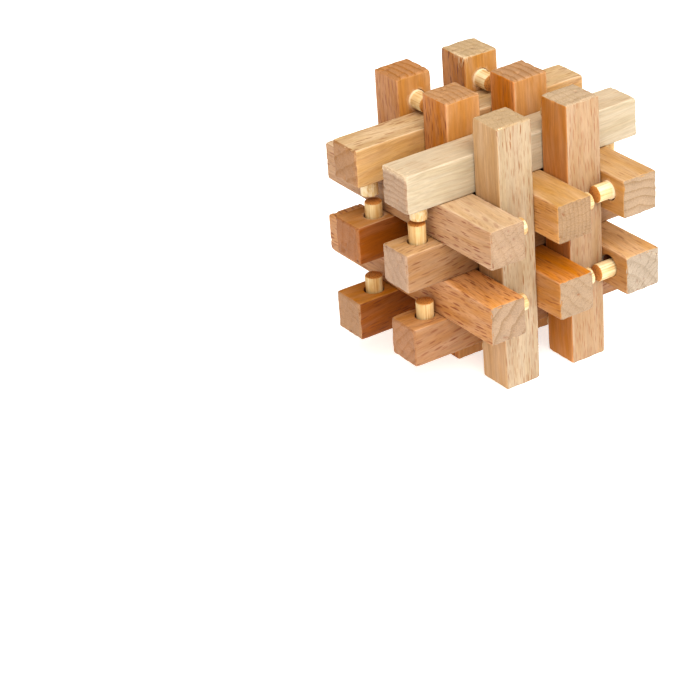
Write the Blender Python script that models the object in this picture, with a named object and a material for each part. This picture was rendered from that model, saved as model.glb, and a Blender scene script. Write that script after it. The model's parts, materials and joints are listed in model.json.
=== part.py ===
"""Eighteen-stick wooden burr puzzle.

Square beech sticks lie in three crossing families, rails along X, beams along Y and uprights along Z.
Each family is three layers of two sticks. None of the sticks is notched: bamboo pins, glued into blind
holes near the sticks' ends, stand proud behind the crossing sticks and lock the lattice.

The sticks of an outer layer have a pin at both ends, and keep each other in. The sticks of a middle
layer have one pin, at one end only, so each of these keys pulls out towards its own pinned end.

The sticks are hand-made: each has crept a little, and its pins aren't quite in the middle of it.

Units are metres, +Z is up, and the origin is under the middle of the whole puzzle's outline, on the
surface it stands on.
"""

import math
from collections import namedtuple

import bmesh
import bpy
from mathutils import Matrix, Vector

# Driving dimensions
STICK_SIDE = 0.0100
STICK_GAP = 0.0003
EDGE_ROUND = 0.0006
PIN_DIAMETER = 0.0046
PIN_CLEARANCE = 0.0003
PIN_PLAY = 0.0010
PIN_TIP_GAP = 0.0019
PIN_RIM_ROUND = 0.00025
END_WOOD = 0.00415
HOLE_FLOOR = 0.003

# Unit of the sticks' small differences
MM = 0.001

# Fineness of the round shapes
ROUND_SIDES = 16
EDGE_SEGMENTS = 2

# Worked out from the dimensions above
PITCH = STICK_SIDE + STICK_GAP
HALF_SIDE = STICK_SIDE / 2
OUTER_CROSSING = 2 * PITCH + HALF_SIDE
PIN_OFFSET = OUTER_CROSSING + PIN_PLAY + PIN_DIAMETER / 2
STICK_LENGTH = 2 * (PIN_OFFSET + PIN_DIAMETER / 2 + END_WOOD)
FACING_GAP = STICK_SIDE + 2 * STICK_GAP
PIN_PROUD = (FACING_GAP - PIN_TIP_GAP) / 2
HOLE_DEPTH = STICK_SIDE - HOLE_FLOOR

# Directions
X, Y, Z = Vector((1, 0, 0)), Vector((0, 1, 0)), Vector((0, 0, 1))

# Each family: the way its sticks run, the way its three layers stack, the way its two sticks sit
# side by side, and the names of a stick's two ends, the negative one first.
FAMILIES = {
    "rail": (X, Z, Y, ("left", "right")),
    "beam": (Y, X, Z, ("front", "back")),
    "upright": (Z, Y, X, ("bottom", "top")),
}

# One stick. family, layer and side place it, the last two in pitches from the lattice's centre. creep is how
# far it has crept along its own length, as a share of the pins' play. offcut is how far its wood sits along
# its length from the middle of its pins, and drift how far its pins stand beside its middle line, both in
# mm along the family's directions. proud is the pins' reach as a share of PIN_PROUD.
Stick = namedtuple("Stick", "family layer side creep offcut drift proud wood")

STICKS = {
    "rail_top_back": Stick("rail", 2, 1, -0.05, -0.46, 0.0, 1.18, "beech_honey"),
    "rail_top_front": Stick("rail", 2, -1, 0.23, -0.23, 0.0, 1.05, "beech_pale"),
    "rail_middle_back": Stick("rail", 0, 1, 0.18, -1.4, -0.95, 0.9, "beech_brown"),
    "rail_middle_front": Stick("rail", 0, -1, -0.1, -1.04, 0.5, 1.14, "beech_pink"),
    "rail_bottom_back": Stick("rail", -2, 1, -0.75, -1.55, -0.35, 0.94, "beech_brown"),
    "rail_bottom_front": Stick("rail", -2, -1, 0.7, -0.75, 0.25, 0.95, "beech_tan"),
    "beam_upper_left": Stick("beam", -2, 1, 0.0, -0.41, 0.0, 1.0, "beech_honey"),
    "beam_upper_middle": Stick("beam", 0, 1, 0.4, -0.2, 0.0, 1.0, "beech_honey"),
    "beam_upper_right": Stick("beam", 2, 1, 0.75, 0.1, 0.85, 1.0, "beech_honey"),
    "beam_lower_left": Stick("beam", -2, -1, 0.6, 0.0, 0.0, 1.0, "beech_orange"),
    "beam_lower_middle": Stick("beam", 0, -1, 0.75, -0.45, 0.0, 1.0, "beech_orange"),
    "beam_lower_right": Stick("beam", 2, -1, 0.75, -0.55, 0.0, 1.0, "beech_tan"),
    "upright_back_left": Stick("upright", 2, -1, -0.3, 0.55, 0.55, 1.0, "beech_orange"),
    "upright_back_right": Stick("upright", 2, 1, -0.3, 0.55, -0.15, 1.0, "beech_tan"),
    "upright_middle_left": Stick("upright", 0, -1, -0.3, 0.55, 0.0, 1.0, "beech_orange"),
    "upright_middle_right": Stick("upright", 0, 1, -0.3, 0.55, 0.0, 1.0, "beech_orange"),
    "upright_front_left": Stick("upright", -2, -1, -0.3, 0.55, 0.0, 1.0, "beech_pale"),
    "upright_front_right": Stick("upright", -2, 1, -0.3, 0.55, 0.0, 1.0, "beech_pink"),
}

# Each wood: its colour and roughness.
WOODS = {
    "beech_pale": ((0.80, 0.58, 0.35), 0.55),
    "beech_honey": ((0.74, 0.47, 0.24), 0.52),
    "beech_pink": ((0.72, 0.42, 0.25), 0.54),
    "beech_tan": ((0.66, 0.38, 0.18), 0.55),
    "beech_orange": ((0.60, 0.27, 0.09), 0.50),
    "beech_brown": ((0.45, 0.21, 0.08), 0.55),
    "bamboo": ((0.78, 0.62, 0.34), 0.45),
}


def clear_scene():
    for old in list(bpy.data.objects):
        bpy.data.objects.remove(old)


def wood_material(name):
    colour, roughness = WOODS[name]
    material = bpy.data.materials.new(name)
    material.use_nodes = True
    shader = material.node_tree.nodes["Principled BSDF"]
    shader.inputs["Base Color"].default_value = (*colour, 1.0)
    shader.inputs["Roughness"].default_value = roughness
    shader.inputs["Metallic"].default_value = 0.0
    return material


def mesh_from(bm, name):
    """Store the bmesh as a mesh that is smooth where it is round and sharp where it isn't."""
    bmesh.ops.recalc_face_normals(bm, faces=bm.faces)
    mesh = bpy.data.meshes.new(name)
    bm.to_mesh(mesh)
    bm.free()
    mesh.shade_smooth()
    mesh.set_sharp_from_angle(angle=math.radians(35))
    return mesh


def place(name, mesh, matrix, parent=None):
    item = bpy.data.objects.new(name, mesh)
    bpy.context.scene.collection.objects.link(item)
    item.parent = parent
    item.matrix_local = matrix
    return item


def blank_mesh():
    """A square stick along X with rounded edges, before it is drilled."""
    bm = bmesh.new()
    size = Matrix.Diagonal((STICK_LENGTH, STICK_SIDE, STICK_SIDE, 1.0))
    bmesh.ops.create_cube(bm, size=1.0, matrix=size)
    bmesh.ops.bevel(
        bm,
        geom=bm.edges[:],
        offset=min(EDGE_ROUND, HALF_SIDE / 2),
        segments=EDGE_SEGMENTS,
        profile=0.5,
        affect="EDGES",
    )
    return mesh_from(bm, "stick_blank")


def rod(name, radius, length, rim_round=0.0):
    """A rod along +Z that starts at its origin, with its far rim rounded."""
    bm = bmesh.new()
    bmesh.ops.create_cone(
        bm,
        cap_ends=True,
        segments=ROUND_SIDES,
        radius1=radius,
        radius2=radius,
        depth=length,
        matrix=Matrix.Translation((0.0, 0.0, length / 2)),
    )
    if rim_round > 0:
        rim = [e for e in bm.edges if all(v.co.z > length / 2 for v in e.verts)]
        bmesh.ops.bevel(
            bm, geom=rim, offset=rim_round, segments=2, profile=0.5, affect="EDGES"
        )
    return mesh_from(bm, name)


def pin_places(stick):
    """Where a stick's pins stand on its +Z face, in its own frame, by the names of its ends."""
    along, _, across, end_names = FAMILIES[stick.family]
    drift = stick.drift * MM * across.dot(inward(stick).cross(along))
    middle = Vector((-stick.offcut * MM, drift, HALF_SIDE))
    ends = (-1,) if stick.layer == 0 else (-1, 1)
    return {end_names[end > 0]: middle + end * PIN_OFFSET * X for end in ends}


def drilled_mesh(name, stick):
    """A stick with a blind hole in its +Z face for each of its pins."""
    drill = rod("drill", PIN_DIAMETER / 2 + PIN_CLEARANCE, HOLE_DEPTH + STICK_SIDE)
    blank = place(name, blank_mesh(), Matrix.Identity(4))
    cutters = []
    for spot in pin_places(stick).values():
        cutter = place(f"{name}_drill", drill, Matrix.Translation(spot - HOLE_DEPTH * Z))
        cutter.hide_render = True
        cutter.display_type = "WIRE"
        cut = blank.modifiers.new("hole", "BOOLEAN")
        cut.operation = "DIFFERENCE"
        cut.solver = "EXACT"
        cut.object = cutter
        cutters.append(cutter)
    depsgraph = bpy.context.evaluated_depsgraph_get()
    mesh = bpy.data.meshes.new_from_object(blank.evaluated_get(depsgraph))
    mesh.name = name
    mesh.shade_smooth()
    mesh.set_sharp_from_angle(angle=math.radians(35))
    for helper in (blank, *cutters):
        bpy.data.objects.remove(helper)
    return mesh


def inward(stick):
    """The way a stick's pins point: into the lattice, and up its family's stack from its middle layer."""
    stack = FAMILIES[stick.family][1]
    return -stack if stick.layer > 0 else stack


def stick_centre(stick):
    """The middle of a stick's wood, from the lattice's centre."""
    along, stack, across, _ = FAMILIES[stick.family]
    shift = stick.creep * PIN_PLAY + stick.offcut * MM
    return PITCH * (stick.layer * stack + stick.side * across) + shift * along


def lattice_place():
    """The lattice's centre, placed so that the origin is on the ground, under the middle of the outline."""
    low, high = Vector((math.inf,) * 3), Vector((-math.inf,) * 3)
    for stick in STICKS.values():
        along = FAMILIES[stick.family][0]
        half = Vector((HALF_SIDE,) * 3) + (STICK_LENGTH / 2 - HALF_SIDE) * along
        centre = stick_centre(stick)
        low = Vector(map(min, low, centre - half))
        high = Vector(map(max, high, centre + half))
    return Vector((-(low.x + high.x) / 2, -(low.y + high.y) / 2, -low.z))


def build():
    clear_scene()
    materials = {name: wood_material(name) for name in WOODS}
    centre = place("lattice_centre", None, Matrix.Translation(lattice_place()))
    for name, stick in STICKS.items():
        along, up = FAMILIES[stick.family][0], inward(stick)
        turn = Matrix((along, up.cross(along), up)).transposed().to_4x4()
        mesh = drilled_mesh(name, stick)
        mesh.materials.append(materials[stick.wood])
        wood = place(name, mesh, Matrix.Translation(stick_centre(stick)) @ turn, centre)
        seated = HOLE_DEPTH - PIN_CLEARANCE
        pin_mesh = rod("pin", PIN_DIAMETER / 2, seated + stick.proud * PIN_PROUD, PIN_RIM_ROUND)
        pin_mesh.materials.append(materials["bamboo"])
        for end_name, spot in pin_places(stick).items():
            place(f"{name}_pin_{end_name}", pin_mesh, Matrix.Translation(spot - seated * Z), wood)


build()
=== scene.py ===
"""Looks for the eighteen-stick burr puzzle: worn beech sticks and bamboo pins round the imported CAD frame."""

import json
import math
from collections import namedtuple

import bmesh
import bpy
from mathutils import Matrix, Vector, noise


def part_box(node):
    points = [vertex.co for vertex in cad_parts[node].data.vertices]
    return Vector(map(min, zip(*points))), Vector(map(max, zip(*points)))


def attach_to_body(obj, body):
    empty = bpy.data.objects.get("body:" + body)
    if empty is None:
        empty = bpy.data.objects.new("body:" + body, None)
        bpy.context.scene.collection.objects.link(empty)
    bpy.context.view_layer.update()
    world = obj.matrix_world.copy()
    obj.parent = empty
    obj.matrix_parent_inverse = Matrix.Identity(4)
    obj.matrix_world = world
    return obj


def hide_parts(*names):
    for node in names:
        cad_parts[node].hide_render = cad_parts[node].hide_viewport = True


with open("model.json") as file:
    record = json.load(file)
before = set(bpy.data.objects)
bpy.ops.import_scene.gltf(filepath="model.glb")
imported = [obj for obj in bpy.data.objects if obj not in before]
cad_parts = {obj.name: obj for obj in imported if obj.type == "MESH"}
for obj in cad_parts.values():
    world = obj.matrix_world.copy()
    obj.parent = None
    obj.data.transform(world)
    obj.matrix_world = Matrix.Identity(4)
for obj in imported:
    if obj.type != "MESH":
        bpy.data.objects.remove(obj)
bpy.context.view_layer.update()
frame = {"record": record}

MM = 0.001

# The worn sticks. SNUG is how far the sanded wood stands outside its CAD solid, whose gaps are wider than
# the real fit. The others are the radii of the long edges and of the ends' edges.
SNUG = 0.07 * MM
SIDE_ROUND = 0.42 * MM
END_ROUND = 0.72 * MM

# How uneven the sticks' ends are: their radius's waver, their hollows, their slant and their largest chips
END_WAVER = 0.25 * MM
END_HOLLOW = 0.1 * MM
END_SLANT = 0.012
END_CHIP = 0.6 * MM

# The pins. They are a little thinner than their CAD solids, and PIN_RIM is the slope round the free end.
# Glue spreads round a pin from GLUE_DEPTH inside its hole, and is GLUE_HEIGHT high in all.
PIN_INSET = 0.03 * MM
PIN_RIM = 0.22 * MM
GLUE_DEPTH = 0.1 * MM
GLUE_HEIGHT = 0.6 * MM

# The meshes' fineness: rows on a rounded edge, the rows' spacing on a stick, and a pin's sides
ROUND_STEPS = 4
STEP_ACROSS = 0.5 * MM
STEP_ALONG = 1.5 * MM
PIN_SIDES = 40

# The drilled holes: their usual radius, and how far their middle usually lies from the pin's, towards the
# stick's own end and at most beside it. A hole of its own is (radius, towards the end, beside the pin), in
# mm. DRILL is the drill's outline: heights from the hole's mouth, and how much wider it is there.
HOLE_RADIUS, HOLE_SHIFT, HOLE_WANDER = 2.52 * MM, 0.16 * MM, 0.08 * MM
DRILL = ((-7 * MM, 0.0), (-0.2 * MM, 0.0), (0.05 * MM, 0.08 * MM), (3 * MM, 0.9 * MM))
OWN_HOLES = {
    "beam_lower_right_pin_front": (2.95, -0.35, 0.5),
    "beam_upper_right_pin_front": (2.6, 0.15, -0.25),
    "rail_bottom_back_pin_left": (2.6, 0.25, 0.05),
}

# The pins whose glue has squeezed out round them, those with pale dust round them, and the roughest pins
GLUED_PINS = ("upright_back_left_pin_top", "upright_back_right_pin_top", "beam_upper_right_pin_front")
DUSTY_PINS = GLUED_PINS + ("rail_middle_back_pin_left", "rail_top_front_pin_left")
ROUGH_PINS = ("rail_top_back_pin_left", "rail_top_front_pin_left")

# How cream each family's bamboo is, from tan at 0: partly its own tone and partly painted light, tan on the
# rails' pins, which lie in shade. Then how rough the roughest pins and the others are
PIN_CREAM_AND_SHADE = {"rail": 0.2, "beam": 0.7, "upright": 0.7}
ROUGHEST, ROUGH = 0.6, 0.1

# Torn fibres at the sticks' edges. A tear runs between two points of the stick's box, given as shares of its
# half sizes. Then come how many fibres it has, their length and thickness in mm, the way they point and how
# they bend, and how pale the bruised wood along the tear is.
Tear = namedtuple("Tear", "start end count length thick way bend pale")

TEARS = {
    "upright_back_right": [
        Tear((1, -1, -1), (1, -1, -0.1), 15, 2.6, 0.18, (-0.5, -0.35, -0.1), (-0.5, 0.25, 0), 0.45),
        Tear((1, -1, -1), (1, -0.5, -1), 8, 1.7, 0.15, (-0.5, 0, -0.4), (-0.4, 0, 0.3), 0)],
    "rail_top_front": [
        Tear((-1, -0.9, 1), (-1, 0.95, 1), 14, 1.5, 0.07, (-0.08, 0.6, -0.5), (0.05, 0, -0.3), 0.6),
        Tear((-0.99, -0.9, 1), (-0.95, 0.9, 1), 22, 1.3, 0.08, (0.7, 0.4, 0.12), (0.3, -0.3, -0.05), 0)],
    "upright_front_left": [
        Tear((1, -1, -1), (1, -0.7, -1), 6, 0.8, 0.14, (0.2, -0.3, -0.3), (-0.4, 0, 0), 0),
        Tear((-0.97, 1, -1), (-0.72, 1, -1), 12, 0.6, 0.1, (0.5, 0.3, -0.1), (0, 0.2, 0), 0)],
    "rail_top_back": [
        Tear((-1, -0.1, 1), (-0.97, 0.9, 1), 9, 0.8, 0.09, (0.5, 0.5, 0.1), (0.3, 0, -0.1), 0)],
    "beam_lower_right": [
        Tear((-1, 0.6, 1), (-1, 1, 0.4), 5, 0.6, 0.1, (-0.4, 0.2, 0.2), (0, 0, 0), 0)],
}

# Each stick's wood, with its colours in sRGB. The first two are its sides, across its frame's Y and Z, and are
# partly the wood's tone and partly painted shade: darker and more orange where a side lies in the shade
# between other sticks, as on the middle and bottom back rails' fronts. fleck is its ray flecks and end its
# sawn ends.
# flecks is how many of the flecks show and how dark they are.
# pith is the heart of the tree seen from the stick's middle: an angle across the grain in degrees, and how
# far off in mm. slope is the grain's run-out in degrees. rings is how far a ring darkens the sides, and a
# ring's width in mm. cut is how far rings and rays darken the sawn ends.
Look = namedtuple("Look", "y_faces z_faces fleck end flecks pith slope rings cut")

LOOKS = {
    "rail_top_back": Look((187, 150, 104), (193, 166, 130), (133, 84, 50), (154, 115, 80), (0.9, 0.75),
                          (50, 30), (3, 2), (0.15, 3.2), (0.5, 0.15)),
    "rail_top_front": Look((176, 163, 140), (193, 176, 151), (159, 122, 91), (160, 133, 110),
                           (0.35, 0.55), (88, 40), (2, 1), (0.12, 1.4), (0.7, 0.1)),
    "rail_middle_back": Look((139, 78, 22), (169, 122, 76), (90, 39, 7), (146, 96, 56), (0.4, 0.5),
                             (5, 35), (4, 1), (0.1, 3.0), (0.25, 0.15)),
    "rail_middle_front": Look((151, 116, 83), (185, 150, 112), (113, 71, 44), (163, 134, 111),
                              (0.6, 0.95), (-42, 45), (6, 1), (0.1, 2.6), (0.35, 0.35)),
    "rail_bottom_back": Look((131, 74, 22), (171, 117, 58), (93, 41, 7), (154, 117, 85), (0.8, 0.9),
                             (8, 50), (8, 1), (0.1, 2.4), (0.2, 0.5)),
    "rail_bottom_front": Look((151, 114, 83), (178, 132, 88), (113, 61, 35), (154, 110, 76),
                              (0.7, 0.95), (38, 26), (7, 1), (0.1, 2.4), (0.35, 0.35)),
    "beam_upper_left": Look((192, 165, 134), (175, 139, 107), (121, 69, 50), (153, 128, 104),
                            (0.75, 0.95), (66, 60), (1, 4), (0.08, 2.8), (0.3, 0.6)),
    "beam_upper_middle": Look((186, 149, 103), (194, 148, 99), (131, 79, 46), (144, 117, 89),
                              (0.7, 0.75), (88, 50), (1, 3), (0.1, 1.2), (0.35, 0.55)),
    "beam_upper_right": Look((188, 153, 112), (177, 132, 78), (118, 62, 32), (154, 131, 107),
                             (0.35, 0.5), (8, 40), (1, 2), (0.1, 2.3), (0.7, 0.2)),
    "beam_lower_left": Look((206, 154, 106), (181, 135, 95), (124, 65, 36), (152, 128, 105),
                            (0.95, 0.95), (-48, 34), (2, 5), (0.12, 3.4), (0.7, 0.45)),
    "beam_lower_middle": Look((190, 128, 64), (182, 132, 82), (128, 68, 34), (152, 129, 105),
                              (0.6, 0.7), (46, 38), (1, 4), (0.1, 2.6), (0.35, 0.6)),
    "beam_lower_right": Look((199, 161, 119), (171, 129, 86), (118, 68, 42), (156, 141, 124),
                             (0.7, 0.5), (42, 30), (1, 3), (0.1, 3.2), (0.45, 0.95)),
    "upright_back_left": Look((176, 126, 83), (181, 135, 88), (124, 66, 40), (165, 118, 76), (0.95, 0.95),
                              (6, 44), (1, 1), (0.14, 2.2), (0.7, 0.3)),
    "upright_back_right": Look((184, 127, 74), (185, 138, 86), (103, 55, 33), (177, 152, 119),
                               (0.9, 0.95), (14, 22), (1, 1), (0.1, 2.0), (0.4, 0.4)),
    "upright_middle_left": Look((181, 122, 70), (187, 138, 89), (110, 54, 28), (171, 131, 94),
                                (0.9, 1.0), (4, 46), (1, 0), (0.1, 1.8), (0.6, 0.75)),
    "upright_middle_right": Look((205, 135, 69), (180, 133, 86), (128, 68, 34), (168, 130, 96),
                                 (0.7, 0.5), (6, 60), (0, 1), (0.1, 2.0), (0.8, 0.3)),
    "upright_front_left": Look((184, 151, 115), (167, 148, 123), (130, 86, 50), (175, 150, 118),
                               (0.85, 0.95), (72, 70), (1, 0), (0.14, 2.2), (0.2, 0.7)),
    "upright_front_right": Look((186, 129, 74), (166, 139, 111), (129, 67, 34), (177, 154, 127),
                                (0.95, 0.6), (88, 80), (0, 1), (0.08, 2.6), (0.4, 0.7)),
}

# The beech's ray flecks, in three kinds. pitch is how far apart they are and size how large, in mm along the
# grain, round the heart and out from it. start shifts them in the wood. share and strength scale how many of
# them show and how dark they are.
Rays = namedtuple("Rays", "start pitch size share strength")

RAYS = (
    Rays((0.0, 0.0, 0.0), (4.6, 1.05, 9.0), (4.4, 0.54, 16.0), 1.0, 1.0),
    Rays((31.0, 17.0, 5.0), (2.6, 0.75, 5.0), (2.2, 0.26, 8.0), 1.0, 0.6),
    Rays((13.0, 7.0, 3.0), (7.5, 1.1, 9.0), (7.0, 0.3, 16.0), 0.5, 0.7),
)

# Colours in sRGB: what lies on the wood, torn fibres from dark to light, and the bamboo. Its walls are tan
# or cream, each in a lighter and a deeper tone, and its ends run from the bundles' colour to that between.
DUST, BRUISE, GLUE = (222, 196, 168), (216, 194, 164), (222, 200, 166)
TORN_TONES = (206, 178, 136), (242, 226, 196)
BAMBOO_TAN = (214, 188, 138), (196, 156, 98)
BAMBOO_CREAM = (226, 212, 176), (212, 188, 142)
BAMBOO_FIBRE, BAMBOO_STREAK, BAMBOO_SCUFF = (174, 126, 66), (236, 222, 188), (226, 212, 186)
BAMBOO_END = (116, 66, 28), (188, 130, 68)

# Each family's stick frame: the world axes that its length, its y and its z run along.
FAMILY_AXES = {"rail": (0, 1, 2), "beam": (1, 2, 0), "upright": (2, 0, 1)}
AXES = [Vector((1, 0, 0)), Vector((0, 1, 0)), Vector((0, 0, 1))]

# The camera: its place round the lattice and its roll in degrees, its distance and how far it is moved aside
# in metres, and its lens and sensor in mm
VIEW_AZIMUTH, VIEW_ELEVATION, VIEW_ROLL = -32.06, 28.32, -4.18
VIEW_DISTANCE = 0.6775
VIEW_ASIDE = (0.03526, 0.03476)
LENS, SENSOR = 138.53, 36.0

# The studio: a large soft light above the camera and to its right, warm light from all round, and a floor
# that glows a little so that shadows on it stay faint.
KEY_AZIMUTH, KEY_ELEVATION = -12, 50
KEY_DISTANCE, KEY_SIZE, KEY_POWER = 1.2, 1.4, 24.0
KEY_TINT = (1.0, 0.99, 0.98)
AMBIENT_TINT, AMBIENT_STRENGTH = (1.0, 0.9, 0.77, 1.0), 0.5
FLOOR_SIZE = 6.0
FLOOR_TONES = (0.93, 0.93, 0.93, 1.0), (0.97, 0.97, 0.97, 1.0)
FLOOR_GLOW, FLOOR_GLOW_STRENGTH = (0.92, 0.97, 1.0, 1.0), 0.5


def linear(colour):
    """An sRGB colour in 0 to 255 as linear light with an alpha of 1."""
    parts = [c / 255 for c in colour]
    return (*(c / 12.92 if c <= 0.04045 else ((c + 0.055) / 1.055) ** 2.4 for c in parts), 1.0)


class Graph:
    """A material's nodes, made a call at a time. A socket given as a value is linked, a number is set."""

    def __init__(self, name):
        self.material = bpy.data.materials.new(name)
        self.material.use_nodes = True
        self.tree = self.material.node_tree
        self.shader = self.tree.nodes["Principled BSDF"]

    def put(self, socket, value):
        if isinstance(value, bpy.types.NodeSocket):
            self.tree.links.new(value, socket)
        else:
            socket.default_value = value

    def node(self, kind, inputs=None, **settings):
        made = self.tree.nodes.new(kind)
        for key, value in settings.items():
            setattr(made, key, value)
        for key, value in (inputs or {}).items():
            self.put(made.inputs[key], value)
        return made

    def math(self, operation, *values):
        return self.node("ShaderNodeMath", dict(enumerate(values)), operation=operation).outputs[0]

    def vector(self, operation, *values):
        made = self.node("ShaderNodeVectorMath", dict(enumerate(values)), operation=operation)
        return made.outputs["Value" if operation in ("LENGTH", "DOT_PRODUCT") else "Vector"]

    def noise(self, vector, scale=1.0, detail=2.0, output="Fac"):
        inputs = {"Vector": vector, "Scale": scale, "Detail": detail}
        return self.node("ShaderNodeTexNoise", inputs).outputs[output]

    def ramp(self, value, low, high, to_low=0.0, to_high=1.0):
        """A smooth step from to_low at low to to_high at high."""
        inputs = {0: value, 1: low, 2: high, 3: to_low, 4: to_high}
        return self.node("ShaderNodeMapRange", inputs, interpolation_type="SMOOTHSTEP").outputs[0]

    def mix(self, share, first, second):
        made = self.node("ShaderNodeMix", data_type="RGBA")
        for socket, value in zip((made.inputs[0], made.inputs[6], made.inputs[7]), (share, first, second)):
            self.put(socket, value)
        return made.outputs[2]

    def brighten(self, colour, factor, saturation=1.0):
        inputs = {"Value": factor, "Saturation": saturation, "Color": colour}
        return self.node("ShaderNodeHueSaturation", inputs).outputs[0]

    def product(self, *values):
        result = values[0]
        for value in values[1:]:
            result = self.math("MULTIPLY", result, value)
        return result

    def split(self, vector):
        return self.node("ShaderNodeSeparateXYZ", {0: vector}).outputs

    def join(self, x, y, z):
        return self.node("ShaderNodeCombineXYZ", {0: x, 1: y, 2: z}).outputs[0]

    def bump(self, height, distance, strength=1.0):
        inputs = {"Height": height, "Distance": distance, "Strength": strength}
        self.put(self.shader.inputs["Normal"], self.node("ShaderNodeBump", inputs).outputs[0])


def ray_flecks(g, place, pitch, size, amount):
    """Thin lens-shaped rays scattered through the wood: pitch apart and size long, both along the grain,
    round the heart and out from it. amount is the share of them that show."""
    cells = g.vector("DIVIDE", place, pitch)
    found = g.node("ShaderNodeTexVoronoi", {"Vector": cells, "Scale": 1.0})
    offset = g.vector("SUBTRACT", cells, found.outputs["Position"])
    stretch = tuple(2 * p / s for p, s in zip(pitch, size))
    chance = g.node("ShaderNodeSeparateColor", {0: found.outputs["Color"]}).outputs
    reach = g.math("DIVIDE", g.vector("LENGTH", g.vector("MULTIPLY", offset, stretch)),
                   g.ramp(chance[0], 0.0, 1.0, 0.65, 1.0))
    shows = g.math("LESS_THAN", chance[1], amount)
    return g.product(g.ramp(reach, 0.5, 1.0, 1.0, 0.0), shows, g.ramp(chance[2], 0.0, 1.0, 0.55, 1.0))


def ray_lines(g, around, out, spacing):
    """Fine rays across a sawn end: uneven lines that run out from the heart and fade here and there."""
    sway = g.noise(g.join(0.0, around, out), 0.32, 2.0)
    place = g.math("DIVIDE", g.math("ADD", around, g.math("MULTIPLY", sway, 2.2)), spacing)
    edges = g.node("ShaderNodeTexVoronoi", {"W": place, "Scale": 1.0}, voronoi_dimensions="1D",
                   feature="DISTANCE_TO_EDGE").outputs["Distance"]
    fade = g.ramp(g.noise(g.join(5.0, around, out), 0.5, 2.0), 0.38, 0.6, 0.1, 1.0)
    return g.math("MULTIPLY", g.ramp(edges, 0.02, 0.1, 1.0, 0.0), fade)


def distance_to_line(g, point, start, end):
    """How far a point is from the straight line between two others."""
    along = (end - start).normalized()
    offset = g.vector("SUBTRACT", point, tuple(start))
    reach = g.math("MAXIMUM", g.vector("DOT_PRODUCT", offset, tuple(along)), 0.0)
    reach = g.math("MINIMUM", reach, (end - start).length)
    foot = g.vector("MULTIPLY", g.join(reach, reach, reach), tuple(along))
    return g.vector("LENGTH", g.vector("SUBTRACT", offset, foot))


# What the parts of one stick's beech are worked out from. point and normal are in the stick's frame, and
# depths are how far the point is inside each pair of the stick's faces. grain is the point in mm in the
# wood's own frame, with the heart along its X. around and out are its way round the heart and its distance
# from it, in mm, and place is the grain's X with these two. flat_sawn and is_end say what kind of face it is
# on. fibres, fine and pores are noises.
Wood = namedtuple("Wood", "point normal depths grain around out place flat_sawn is_end fibres fine pores")


def wood_coordinates(g, look, seed, half):
    where = g.node("ShaderNodeTexCoord").outputs
    angle, heart = math.radians(look.pith[0]), look.pith[1]
    grain = g.node("ShaderNodeMapping", {
        "Vector": where["Object"],
        "Location": (71.0 * seed, heart * math.cos(angle), heart * math.sin(angle)),
        "Rotation": (0.0, math.radians(look.slope[0]), math.radians(look.slope[1])),
        "Scale": (1 / MM,) * 3,
    }).outputs[0]
    sway = g.vector("SUBTRACT", g.noise(grain, 0.045, 1.0, "Color"), (0.5, 0.5, 0.5))
    grain = g.vector("ADD", grain, g.vector("MULTIPLY", sway, (0.0, 2.6, 2.6)))

    x, y, z = g.split(grain)
    outward = g.join(0.0, y, z)
    out = g.vector("LENGTH", outward)
    around = g.math("MULTIPLY", g.math("ARCTAN2", z, y), heart)
    place = g.join(x, around, out)
    facing = g.vector("DOT_PRODUCT", where["Normal"], g.vector("NORMALIZE", outward))
    normal = [g.math("ABSOLUTE", part) for part in g.split(where["Normal"])]
    own = [g.math("ABSOLUTE", part) for part in g.split(where["Object"])]
    depths = [g.math("SUBTRACT", h, part) for h, part in zip(half, own)]
    return Wood(
        point=where["Object"], normal=normal, depths=depths,
        grain=grain, around=around, out=out, place=place,
        flat_sawn=g.ramp(g.math("ABSOLUTE", facing), 0.25, 0.7),
        is_end=g.ramp(normal[0], 0.5, 0.75),
        fibres=g.noise(g.vector("MULTIPLY", place, (0.1, 2.4, 2.4)), 1.0, 4.0),
        fine=g.noise(g.vector("MULTIPLY", place, (0.5, 6.0, 6.0)), 1.0, 2.0),
        pores=g.noise(grain, 3.2, 3.0))


def year_rings(g, wood, width):
    """The wood's darkening through each year, and its thin dark limit at the year's end, both 0 to 1."""
    waver = g.math("MULTIPLY", g.noise(wood.place, 0.2, 3.0), 0.8)
    ring = g.math("FRACT", g.math("ADD", g.math("DIVIDE", wood.out, width), waver))
    ending = g.ramp(ring, 0.93, 1.0, 1.0, 0.0)
    late, limit = g.ramp(ring, 0.3, 0.93), g.ramp(ring, 0.66, 0.92)
    return g.math("MULTIPLY", late, ending), g.math("MULTIPLY", limit, ending)


def all_flecks(g, wood, amount):
    """The ray flecks of every kind, which show where the wood is cut flat."""
    flecks = 0.0
    for rays in RAYS:
        place = g.vector("ADD", wood.place, rays.start)
        shown = ray_flecks(g, place, rays.pitch, rays.size, rays.share * amount)
        flecks = g.math("MAXIMUM", flecks, g.math("MULTIPLY", shown, rays.strength))
    return g.product(flecks, wood.flat_sawn, g.ramp(wood.fine, 0.3, 0.6, 0.7, 1.0))


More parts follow.
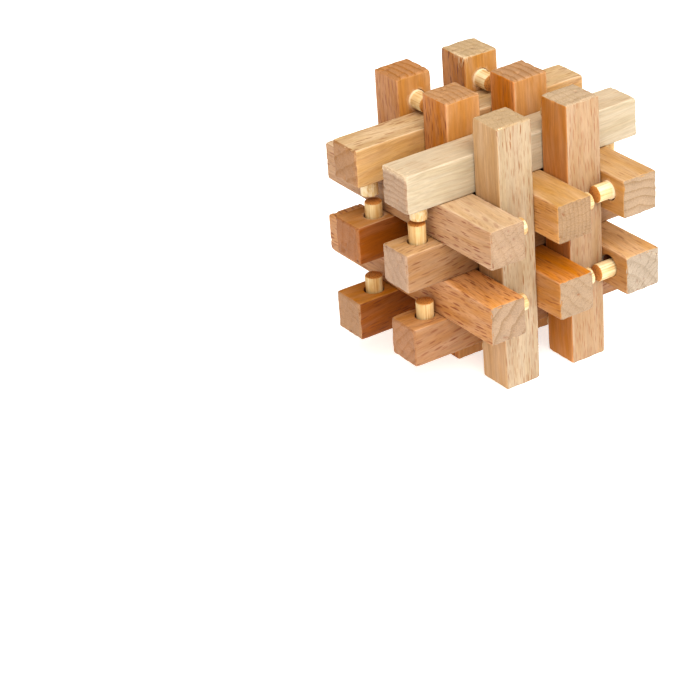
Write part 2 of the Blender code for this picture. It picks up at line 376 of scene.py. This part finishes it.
def side_colour(g, wood, look, late, flecks):
    """The planed sides: fibres, patches, year rings and flecks, and paler long edges, partly sanding wear and
    partly painted highlight.
    """
    broad = g.noise(g.vector("MULTIPLY", wood.grain, (0.03, 0.2, 0.2)), 1.0, 2.0)
    patches = g.noise(g.vector("MULTIPLY", wood.place, (0.08, 0.45, 0.45)), 1.0, 2.0)
    # The two side colours are partly the wood's tone and partly painted shade, darker and more orange where a
    # side lies between other sticks.
    side = g.mix(g.ramp(wood.normal[2], 0.6, 0.8), linear(look.y_faces), linear(look.z_faces))
    side = g.mix(g.ramp(broad, 0.35, 0.65, 0.0, 0.8), side, g.brighten(side, 0.88, 1.12))
    side = g.brighten(side, g.ramp(wood.fibres, 0.25, 0.75, 0.9, 1.1))
    side = g.brighten(side, g.ramp(wood.fine, 0.25, 0.75, 0.95, 1.05))
    side = g.brighten(side, g.ramp(patches, 0.3, 0.7, 1.02, 0.98), g.ramp(patches, 0.3, 0.7, 0.95, 1.06))
    side = g.mix(g.math("MULTIPLY", late, look.rings[0]), side, linear(look.fleck))
    side = g.mix(g.math("MULTIPLY", flecks, look.flecks[1]), side, linear(look.fleck))
    # Paler along the long edges: partly sanding wear and partly a painted highlight on the rounded edges.
    from_edge = g.math("MAXIMUM", wood.depths[1], wood.depths[2])
    edge = g.ramp(from_edge, 0.1 * MM, 0.75 * MM, 1.0, 0.0)
    wear_and_highlight = g.product(edge, g.ramp(wood.fibres, 0.4, 0.6, 0.15, 0.5))
    return g.mix(wear_and_highlight, side, g.brighten(side, 1.2, 0.8))


def end_colour(g, wood, look, late, limit):
    """The sawn ends: pores, year rings and fine rays."""
    bands, rays = look.cut
    lines = ray_lines(g, wood.around, wood.out, 1.5)
    end = g.brighten(linear(look.end), g.ramp(wood.pores, 0.3, 0.7, 0.88, 1.1))
    end = g.brighten(end, g.ramp(g.noise(wood.grain, 0.22, 1.0), 0.3, 0.7, 0.95, 1.05))
    end = g.mix(g.math("MULTIPLY", late, bands), end, g.brighten(end, 0.82, 1.12))
    end = g.mix(g.math("MULTIPLY", limit, bands), end, g.brighten(end, 0.87, 1.1))
    return g.mix(g.math("MULTIPLY", lines, rays), end, g.brighten(end, 0.74, 1.2))


def marked(g, wood, colour, dusty, frayed):
    """The wood's colour with pale dust round the dusty points, and bruises along the frayed edges."""
    for spot in dusty:
        away = g.vector("LENGTH", g.vector("SUBTRACT", wood.point, tuple(spot)))
        near = g.math("ADD", away, g.math("MULTIPLY", g.noise(wood.grain, 0.9, 2.0), 1.6 * MM))
        colour = g.mix(g.ramp(near, 2.9 * MM, 4.3 * MM, 0.4, 0.0), colour, linear(DUST))
    for start, end, pale in frayed:
        ragged = g.math("MULTIPLY", g.noise(wood.grain, 1.1, 3.0), 2.4 * MM)
        near = g.math("ADD", distance_to_line(g, wood.point, start, end), ragged)
        bruised = g.ramp(near, 1.5 * MM, 2.6 * MM, pale, 0.0)
        bruised = g.product(bruised, g.ramp(wood.fine, 0.35, 0.6, 0.5, 1.0))
        colour = g.mix(bruised, colour, linear(BRUISE))
    return colour


def beech(name, look, seed, half, dusty, frayed):
    """Solid beech that runs through the stick, along its own X: rings and rays round a heart outside it.
    half is the stick's half size. dusty are points with pale dust round them, and frayed are the bruised
    edges, each as its two ends and how pale it is, all in the stick's frame."""
    g = Graph(name)
    wood = wood_coordinates(g, look, seed, half)
    late, limit = year_rings(g, wood, look.rings[1])
    flecks = all_flecks(g, wood, look.flecks[0])
    side, end = side_colour(g, wood, look, late, flecks), end_colour(g, wood, look, late, limit)
    colour = g.mix(wood.is_end, side, end)
    # Painted shade: deeper than 0.7 mm inside the stick, on the walls of the drilled holes, the wood takes a
    # dark tone.
    depth = g.math("MINIMUM", wood.depths[0], g.math("MINIMUM", wood.depths[1], wood.depths[2]))
    hole = g.brighten(linear(look.fleck), g.ramp(wood.pores, 0.3, 0.7, 0.8, 1.1))
    colour = g.mix(g.ramp(depth, 0.25 * MM, 0.7 * MM), colour, hole)
    g.put(g.shader.inputs["Base Color"], marked(g, wood, colour, dusty, frayed))
    g.put(g.shader.inputs["Roughness"], g.ramp(wood.fibres, 0.2, 0.8, 0.66, 0.5))
    g.shader.inputs["Specular IOR Level"].default_value = 0.3
    grooves = g.math("SUBTRACT", g.math("ADD", wood.fibres, g.math("MULTIPLY", wood.fine, 0.6)),
                     g.math("MULTIPLY", flecks, 0.5))
    sides_height = g.math("MULTIPLY", grooves, g.math("SUBTRACT", 1.0, wood.is_end))
    g.bump(g.math("ADD", sides_height, g.product(wood.pores, 1.6, wood.is_end)), 0.05 * MM, 0.6)
    return g.material


def torn_fibre(name, seed):
    """Dry, pale fibre that was torn loose."""
    g = Graph(name)
    where = g.node("ShaderNodeTexCoord").outputs["Object"]
    streaks = g.noise(g.vector("ADD", where, (seed, 0.0, 0.0)), 2600.0, 3.0)
    g.put(g.shader.inputs["Base Color"], g.mix(streaks, *map(linear, TORN_TONES)))
    g.put(g.shader.inputs["Roughness"], g.ramp(streaks, 0.3, 0.7, 0.75, 0.6))
    g.bump(streaks, 0.03 * MM, 0.5)
    return g.material


def bamboo(name, seed, pale, rough, glue_level):
    """Split bamboo along the pin's own X: walls with long darker fibres, and speckled brown ends. pale and
    rough are how cream and how rough its walls are, and the cream is partly painted light. Dried glue covers
    it up to glue_level, if given."""
    g = Graph(name)
    where = g.node("ShaderNodeTexCoord").outputs
    grain = g.node("ShaderNodeMapping", {
        "Vector": where["Object"], "Location": (seed * 13.0, seed * 5.0, seed * 3.0), "Scale": (1 / MM,) * 3,
    }).outputs[0]
    fibres = g.noise(g.vector("MULTIPLY", grain, (0.05, 2.3, 2.3)), 1.0, 3.0)
    broad = g.noise(g.vector("MULTIPLY", grain, (0.05, 0.45, 0.45)), 1.0, 1.0)
    blotches = g.noise(g.vector("MULTIPLY", grain, (0.8, 1.2, 1.2)), 1.0, 3.0)
    bundles = g.node("ShaderNodeTexVoronoi", {
        "Vector": g.vector("MULTIPLY", grain, (0.0, 1.0, 1.0)), "Scale": 2.8,
    }).outputs["Distance"]
    light, deep = (linear(tuple(t + pale * (c - t) for t, c in zip(tan, cream)))
                   for tan, cream in zip(BAMBOO_TAN, BAMBOO_CREAM))
    side = g.mix(g.ramp(broad, 0.35, 0.65), light, deep)
    side = g.mix(g.ramp(fibres, 0.48, 0.68, 0.0, 0.8 - 0.15 * pale), side, linear(BAMBOO_FIBRE))
    side = g.mix(g.ramp(fibres, 0.26, 0.42, 0.5, 0.0), side, linear(BAMBOO_STREAK))
    side = g.mix(g.ramp(blotches, 0.4, 0.7, 0.0, rough), side, linear(BAMBOO_SCUFF))
    end = g.mix(g.ramp(bundles, 0.15, 0.4), *map(linear, BAMBOO_END))
    is_end = g.ramp(g.math("ABSOLUTE", g.split(where["Normal"])[0]), 0.4, 0.75)
    colour = g.mix(is_end, side, end)
    if glue_level is not None:
        level = g.math("ADD", g.split(where["Object"])[0], g.math("MULTIPLY", blotches, -0.5 * MM))
        glue = g.ramp(level, glue_level - 0.4 * MM, glue_level + 0.1 * MM, 0.85, 0.0)
        colour = g.mix(glue, colour, linear(GLUE))
    g.put(g.shader.inputs["Base Color"], colour)
    g.put(g.shader.inputs["Roughness"], g.ramp(fibres, 0.3, 0.7, 0.42, 0.58))
    g.shader.inputs["Specular IOR Level"].default_value = 0.35
    g.bump(g.math("ADD", fibres, g.math("MULTIPLY", bundles, is_end)), 0.04 * MM, 0.35 + rough)
    return g.material


def rows_across(half, rounding, step):
    """Rows over one width of a box: close together on the rounded edges and evenly spaced between them."""
    steps = [math.tan(math.pi / 4 * k / ROUND_STEPS) for k in range(ROUND_STEPS + 1)]
    edge = [half - rounding + rounding * step for step in steps]
    inner = half - rounding
    count = max(1, round(2 * inner / step))
    middle = [-inner + 2 * inner * k / count for k in range(1, count)]
    return [-e for e in reversed(edge)] + middle + edge


def box_skin(xs, ys, zs):
    """The surface of a box as a mesh of quads with the given rows along each axis."""
    bm = bmesh.new()
    corners = {}
    last = (len(xs) - 1, len(ys) - 1, len(zs) - 1)

    def corner(i, j, k):
        if (i, j, k) not in corners:
            corners[i, j, k] = bm.verts.new((xs[i], ys[j], zs[k]))
        return corners[i, j, k]

    for axis in range(3):
        a, b = (axis + 1) % 3, (axis + 2) % 3
        for level in (0, last[axis]):
            for i in range(last[a]):
                for j in range(last[b]):
                    quad = []
                    for di, dj in ((0, 0), (1, 0), (1, 1), (0, 1)):
                        index = [0, 0, 0]
                        index[axis], index[a], index[b] = level, i + di, j + dj
                        quad.append(corner(*index))
                    bm.faces.new(quad if level else reversed(quad))
    return bm


def wear(point, half, seed):
    """Moves a point of a sharp box onto the sanded stick: rounded edges, soft corners and uneven ends."""
    shift = Vector((seed * 7.3, seed * 3.1, seed * 5.7))
    slow = noise.noise(point * 130 + shift)
    quick = noise.noise(point * 620 + shift)
    at_end = max(0.0, 1 - (half.x - abs(point.x)) / (2 * END_ROUND))
    rounding = SIDE_ROUND * (1 + 0.3 * slow + 0.15 * quick)
    rounding += at_end * (END_ROUND - SIDE_ROUND + END_WAVER * quick)
    core = Vector(max(-h + rounding, min(h - rounding, p)) for p, h in zip(point, half))
    away = point - core
    moved = core + away.normalized() * rounding
    for axis in (1, 2):
        moved[axis] *= 1 + SNUG / half[axis]
    uneven = END_HOLLOW * (1 + noise.noise(point * 420 - shift))
    skew = END_SLANT * (moved.y * noise.noise(shift) + moved.z * noise.noise(shift * 2))
    moved.x -= math.copysign(at_end * (uneven + abs(skew)), moved.x)
    chip = max(0.0, noise.noise(point * 900 + shift * 3) - 0.15) * at_end * END_CHIP
    return moved - away.normalized() * chip


def new_object(name, bm, matrix, material):
    mesh = bpy.data.meshes.new(name)
    bmesh.ops.recalc_face_normals(bm, faces=bm.faces)
    bm.to_mesh(mesh)
    bm.free()
    made = bpy.data.objects.new(name, mesh)
    made.matrix_world = matrix
    if material:
        mesh.materials.append(material)
    bpy.context.scene.collection.objects.link(made)
    return made


def ring_rows(bm, rows, sides):
    """Closed skin through rings of points. Each row is a list of points, all of the same count."""
    made = [[bm.verts.new(p) for p in row] for row in rows]
    for one, two in zip(made, made[1:]):
        for i in range(sides):
            j = (i + 1) % sides
            bm.faces.new((one[i], one[j], two[j], two[i]))
    bm.faces.new(list(reversed(made[0])))
    bm.faces.new(made[-1])


def drill(radius, seed):
    """A slightly wobbly drill, as a cutter along Z from its hole's floor, with the hole's mouth at Z = 0."""
    bm = bmesh.new()
    rows = []
    for height, grow in DRILL:
        row = []
        for i in range(PIN_SIDES):
            turn = 2 * math.pi * i / PIN_SIDES
            way = Vector((math.cos(turn), math.sin(turn), 0))
            wobble = 0.06 * MM * noise.noise(way * 1.7 + Vector((seed, height * 400, 0)))
            row.append(height * AXES[2] + way * (radius + grow + wobble))
        rows.append(row)
    ring_rows(bm, rows, PIN_SIDES)
    return bm


def sharpened(mesh, angle=35):
    mesh.shade_smooth()
    mesh.set_sharp_from_angle(angle=math.radians(angle))


def cut_away(target, cutters):
    """Cuts the cutters out of the target's mesh, and removes them."""
    for cutter in cutters:
        cut = target.modifiers.new("cut", "BOOLEAN")
        cut.operation, cut.solver, cut.object = "DIFFERENCE", "MANIFOLD", cutter
    mesh = bpy.data.meshes.new_from_object(target.evaluated_get(bpy.context.evaluated_depsgraph_get()))
    old = target.data
    target.modifiers.clear()
    target.data = mesh
    mesh.name = target.name
    bpy.data.meshes.remove(old)
    for cutter in cutters:
        bpy.data.objects.remove(cutter)


def frame_of(node):
    """The centre, half size and stick frame of a stick's CAD node. The frame's X runs along the grain."""
    low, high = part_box(node)
    centre, half = (low + high) / 2, (high - low) / 2
    axes = FAMILY_AXES[node.split("_")[0]]
    turn = Matrix([AXES[a] for a in axes]).transposed().to_4x4()
    return centre, Vector(half[a] for a in axes), Matrix.Translation(centre) @ turn


# A pin's middle, its reach from there, its free way, and the point where its axis leaves its stick
PinFrame = namedtuple("PinFrame", "centre half out mouth")


def pin_frame(pin, stick):
    low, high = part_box(pin)
    stick_low, stick_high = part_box(stick)
    centre, half = (low + high) / 2, (high - low) / 2
    stick_centre, stick_half = (stick_low + stick_high) / 2, (stick_high - stick_low) / 2
    axis = max(range(3), key=lambda a: half[a])
    out = AXES[axis] * math.copysign(1, centre[axis] - stick_centre[axis])
    mouth = centre + out * (stick_half[axis] + SNUG - (centre - stick_centre).dot(out))
    return PinFrame(centre, half, out, mouth)


def hole_cutter(pin, stick, centre, along, seed):
    """The drill for a pin's hole, a little beside the pin."""
    place = pin_frame(pin, stick)
    radius, endways, beside = HOLE_RADIUS, HOLE_SHIFT, HOLE_WANDER * math.sin(seed * 2.1)
    if pin in OWN_HOLES:
        radius, endways, beside = (v * MM for v in OWN_HOLES[pin])
    ends = along * math.copysign(1, (place.mouth - centre).dot(along))
    turn = Matrix((ends, place.out.cross(ends), place.out)).transposed().to_4x4()
    matrix = Matrix.Translation(place.mouth) @ turn @ Matrix.Translation((endways, beside, 0.0))
    return new_object("drill", drill(radius, seed), matrix, None)


def attach(piece, body, node):
    """Makes a piece move with its body, and hides its CAD node, which it stands for."""
    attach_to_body(piece, body)
    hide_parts(node)


def make_stick(node, pins, seed):
    """A worn stick with its holes, and its torn fibres if it has any."""
    centre, half, matrix = frame_of(node)
    xs = rows_across(half.x, END_ROUND, STEP_ALONG)
    ys = rows_across(half.y, END_ROUND, STEP_ACROSS)
    bm = box_skin(xs, ys, ys)
    for vert in bm.verts:
        vert.co = wear(vert.co.copy(), half, seed)
    to_stick = matrix.inverted()
    dusty = [to_stick @ pin_frame(pin, node).mouth for pin in pins if pin in DUSTY_PINS]
    frayed = [(Vector(tear.start) * half, Vector(tear.end) * half, tear.pale)
              for tear in TEARS.get(node, ()) if tear.pale]
    wood = beech(f"{node}_beech", LOOKS[node], seed, half, dusty, frayed)
    stick = new_object(f"{node}_wood", bm, matrix, wood)
    along = matrix.col[0].to_3d()
    cutters = [hole_cutter(pin, node, centre, along, seed + index) for index, pin in enumerate(pins)]
    bpy.context.view_layer.update()
    cut_away(stick, cutters)
    sharpened(stick.data)
    attach(stick, node, node)
    if node in TEARS:
        attach(make_tears(node, half, matrix, seed), node, node)


def make_tears(node, half, matrix, seed):
    """The torn fibres of a stick: tapered strands that bend away from its edges."""
    bm = bmesh.new()
    for tear in TEARS[node]:
        for k in range(tear.count):
            luck = [noise.noise(Vector((seed * 5.1 + k * 1.37, row * 3.3, tear.length))) for row in range(6)]
            share = (k + 0.5 + 3 * luck[0]) / tear.count
            spot = Vector(tear.start).lerp(Vector(tear.end), share)
            root = Vector(p * (h - 0.25 * MM) for p, h in zip(spot, half))
            way = Vector(tear.way) + 0.6 * Vector(luck[1:4])
            length = tear.length * MM * (0.7 + 1.3 * luck[4])
            thick = tear.thick * MM * (1 + luck[5])
            torn_strand(bm, root, way * length, Vector(tear.bend) * length, thick)
    return new_object(f"{node}_torn_fibres", bm, matrix, torn_fibre(f"{node}_fibre", seed))


def torn_strand(bm, root, way, bend, thick):
    """One strand along a parabola: way is where it would end, and bend how far its tip bends from there."""
    rows = []
    for k in range(6):
        t = k / 5
        heading = (way + 2 * bend * t).normalized()
        middle = root + way * t + bend * t * t
        wide = thick * (1 - 0.8 * t)
        one = heading.orthogonal().normalized() * wide
        two = heading.cross(one) * 0.6
        rows.append([middle + one, middle + two, middle - one, middle - two])
    ring_rows(bm, rows, 4)


def pin_ring(x, reach, face, radius, shift, glued):
    """The points round a pin at x along it. Its free end is at reach, and it leaves its stick at face."""
    points = []
    for i in range(PIN_SIDES):
        turn = 2 * math.pi * i / PIN_SIDES
        way = Vector((0, math.cos(turn), math.sin(turn)))
        wide = radius + 0.06 * MM * (noise.noise(way * 2.2 + shift) - 0.5)
        if x == reach:
            wide -= PIN_RIM
        if glued and x > -reach:
            spread = (0.25 + 0.3 * noise.noise(way * 1.4 + shift)) * MM
            wide += spread * max(0.0, 1 - max(0.0, x - face + GLUE_DEPTH) / GLUE_HEIGHT) ** 2
        ragged = 0.13 * MM * noise.noise(way * 6 + shift) if x > reach - 2 * PIN_RIM else 0.0
        points.append(Vector((x - abs(ragged), 0, 0)) + way * wide)
    return points


def make_pin(node, stick, seed):
    """A bamboo pin along its own X, its free end at +X, with facets and a slightly ragged rim."""
    centre, half, out, mouth = pin_frame(node, stick)
    side = AXES[(max(range(3), key=lambda a: abs(out[a])) + 1) % 3]
    matrix = Matrix.Translation(centre) @ Matrix((out, side, out.cross(side))).transposed().to_4x4()
    reach, face = max(half), (mouth - centre).dot(out)
    glued = node in GLUED_PINS
    shift = Vector((seed * 1.9, seed * 4.3, 0))
    places = (-reach, face - GLUE_DEPTH, face + 0.12 * MM, face + 0.3 * MM, face + 0.55 * MM,
              (face + reach) / 2, reach - PIN_RIM, reach)
    rings = [pin_ring(x, reach, face, min(half) - PIN_INSET, shift, glued) for x in places]
    bm = bmesh.new()
    ring_rows(bm, rings, PIN_SIDES)
    glue_level = face + 0.25 * MM if glued else None
    # How cream the pin is stands partly for painted light: tan on the rails' pins, which lie in shade.
    pale = PIN_CREAM_AND_SHADE[stick.split("_")[0]]
    rough = ROUGHEST if node in ROUGH_PINS else ROUGH
    pin = new_object(f"{node}_bamboo", bm, matrix, bamboo(f"{node}_bamboo", seed, pale, rough, glue_level))
    sharpened(pin.data, 50)
    attach(pin, stick, node)


def make_puzzle():
    bodies = frame["record"]["behaviour"]["bodies"]
    for seed, node in enumerate(LOOKS, start=1):
        pins = [n for n in bodies[node] if n != node]
        make_stick(node, pins, seed)
        for index, pin in enumerate(pins):
            make_pin(pin, node, 2.0 * seed + index)


def lattice_centre():
    """Where the three families cross, from the places of the sticks on either side of it."""
    def middle(axis, one, two):
        return sum(corner[axis] for node in (one, two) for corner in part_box(node)) / 4

    return Vector((middle(0, "upright_middle_left", "upright_middle_right"),
                   middle(1, "rail_middle_back", "rail_middle_front"),
                   middle(2, "beam_upper_middle", "beam_lower_middle")))


def make_camera():
    azimuth, elevation, roll = (math.radians(a) for a in (VIEW_AZIMUTH, VIEW_ELEVATION, VIEW_ROLL))
    back = Vector((math.sin(azimuth) * math.cos(elevation), -math.cos(azimuth) * math.cos(elevation),
                   math.sin(elevation)))
    right = Vector((math.cos(azimuth), math.sin(azimuth), 0))
    up = back.cross(right)
    rolled_right = right * math.cos(roll) + up * math.sin(roll)
    rolled_up = up * math.cos(roll) - right * math.sin(roll)
    centre = lattice_centre()
    place = centre + back * VIEW_DISTANCE - rolled_right * VIEW_ASIDE[0] - rolled_up * VIEW_ASIDE[1]
    camera = bpy.data.objects.new("camera", bpy.data.cameras.new("camera"))
    camera.data.lens, camera.data.sensor_width = LENS, SENSOR
    camera.matrix_world = (Matrix.Translation(place)
                           @ Matrix((rolled_right, rolled_up, back)).transposed().to_4x4())
    bpy.context.scene.collection.objects.link(camera)
    bpy.context.scene.camera = camera


def make_light(name, azimuth, elevation, distance, size, power, tint):
    """A square soft light aimed at the puzzle, placed by its azimuth and elevation."""
    light = bpy.data.lights.new(name, "AREA")
    light.energy, light.size, light.color = power, size, tint
    lamp = bpy.data.objects.new(name, light)
    a, e = math.radians(azimuth), math.radians(elevation)
    way = Vector((math.sin(a) * math.cos(e), -math.cos(a) * math.cos(e), math.sin(e)))
    lamp.location = way * distance
    lamp.rotation_euler = way.to_track_quat("Z", "Y").to_euler()
    bpy.context.scene.collection.objects.link(lamp)


def make_floor():
    bm = bmesh.new()
    bmesh.ops.create_grid(bm, x_segments=1, y_segments=1, size=FLOOR_SIZE)
    g = Graph("floor")
    grit = g.noise(g.node("ShaderNodeTexCoord").outputs["Object"], 900.0, 2.0)
    g.put(g.shader.inputs["Base Color"], g.mix(grit, *FLOOR_TONES))
    g.shader.inputs["Roughness"].default_value = 0.9
    g.shader.inputs["Emission Color"].default_value = FLOOR_GLOW
    g.shader.inputs["Emission Strength"].default_value = FLOOR_GLOW_STRENGTH
    new_object("floor", bm, Matrix.Identity(4), g.material)


def make_studio():
    world = bpy.data.worlds.new("studio")
    world.use_nodes = True
    background = world.node_tree.nodes["Background"]
    background.inputs["Color"].default_value = AMBIENT_TINT
    background.inputs["Strength"].default_value = AMBIENT_STRENGTH
    bpy.context.scene.world = world
    make_light("key", KEY_AZIMUTH, KEY_ELEVATION, KEY_DISTANCE, KEY_SIZE, KEY_POWER, KEY_TINT)
    make_floor()
    bpy.context.scene.view_settings.view_transform = "Standard"
    bpy.context.scene.view_settings.look = "Medium High Contrast"


make_puzzle()
make_camera()
make_studio()
